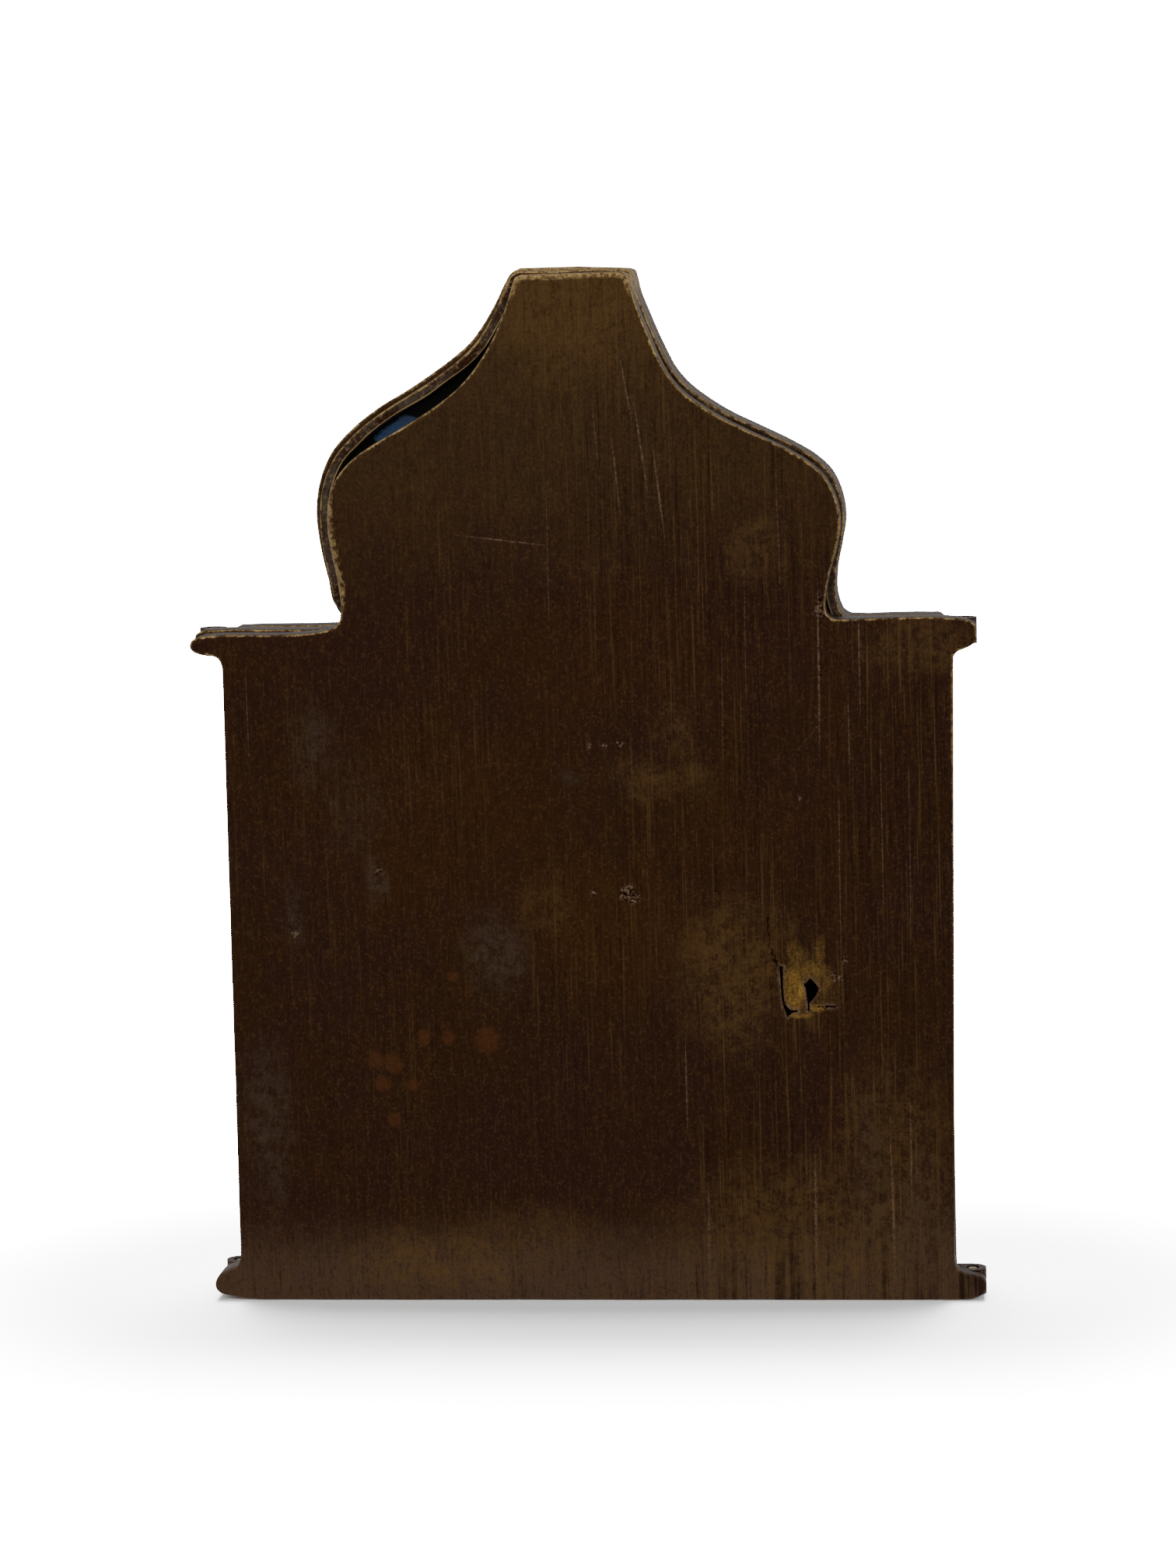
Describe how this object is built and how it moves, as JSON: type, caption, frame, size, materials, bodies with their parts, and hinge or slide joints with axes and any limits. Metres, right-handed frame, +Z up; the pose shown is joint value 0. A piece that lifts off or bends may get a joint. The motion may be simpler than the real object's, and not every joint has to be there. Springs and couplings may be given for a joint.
{
  "type": "folding travel triptych icon",
  "caption": "Cast brass folding icon: keel-topped leaves with relief fronts, hinged at their side lugs and folded into an upright stack with a plain filed back",
  "frame": {"origin": "on the ground under the middle of the folded stack", "axes": "+Z up, +X to the right of the near leaf's plain back, which faces -Y"},
  "size_m": [0.102, 0.0126, 0.1348],
  "materials": {
    "near_leaf": "dark brown patina over filed cast brass",
    "middle_leaf": "patinated cast brass with blue enamel in the sunk fields",
    "far_leaf": "patinated cast brass with blue enamel in the sunk fields",
    "near_lower_pin": "worn brass wire",
    "near_upper_pin": "worn brass wire",
    "far_lower_pin": "worn brass wire",
    "far_upper_pin": "worn brass wire"
  },
  "bodies": {
    "middle": {"middle_leaf": "middle_leaf", "far_lower_pin": "far_lower_pin", "far_upper_pin": "far_upper_pin"},
    "near": {"near_leaf": "near_leaf", "near_lower_pin": "near_lower_pin", "near_upper_pin": "near_upper_pin"},
    "far": {"far_leaf": "far_leaf"}
  },
  "joints": [
    {"name": "near_leaf_hinge", "type": "hinge", "parent": "middle", "child": "near", "pos_m": [0.0492, -0.00215, 0], "axis": [0, 0, 1], "range_deg": [0, 180]},
    {"name": "far_leaf_hinge", "type": "hinge", "parent": "middle", "child": "far", "pos_m": [-0.0492, 0.00215, 0], "axis": [0, 0, 1], "range_deg": [0, 180]}
  ]
}
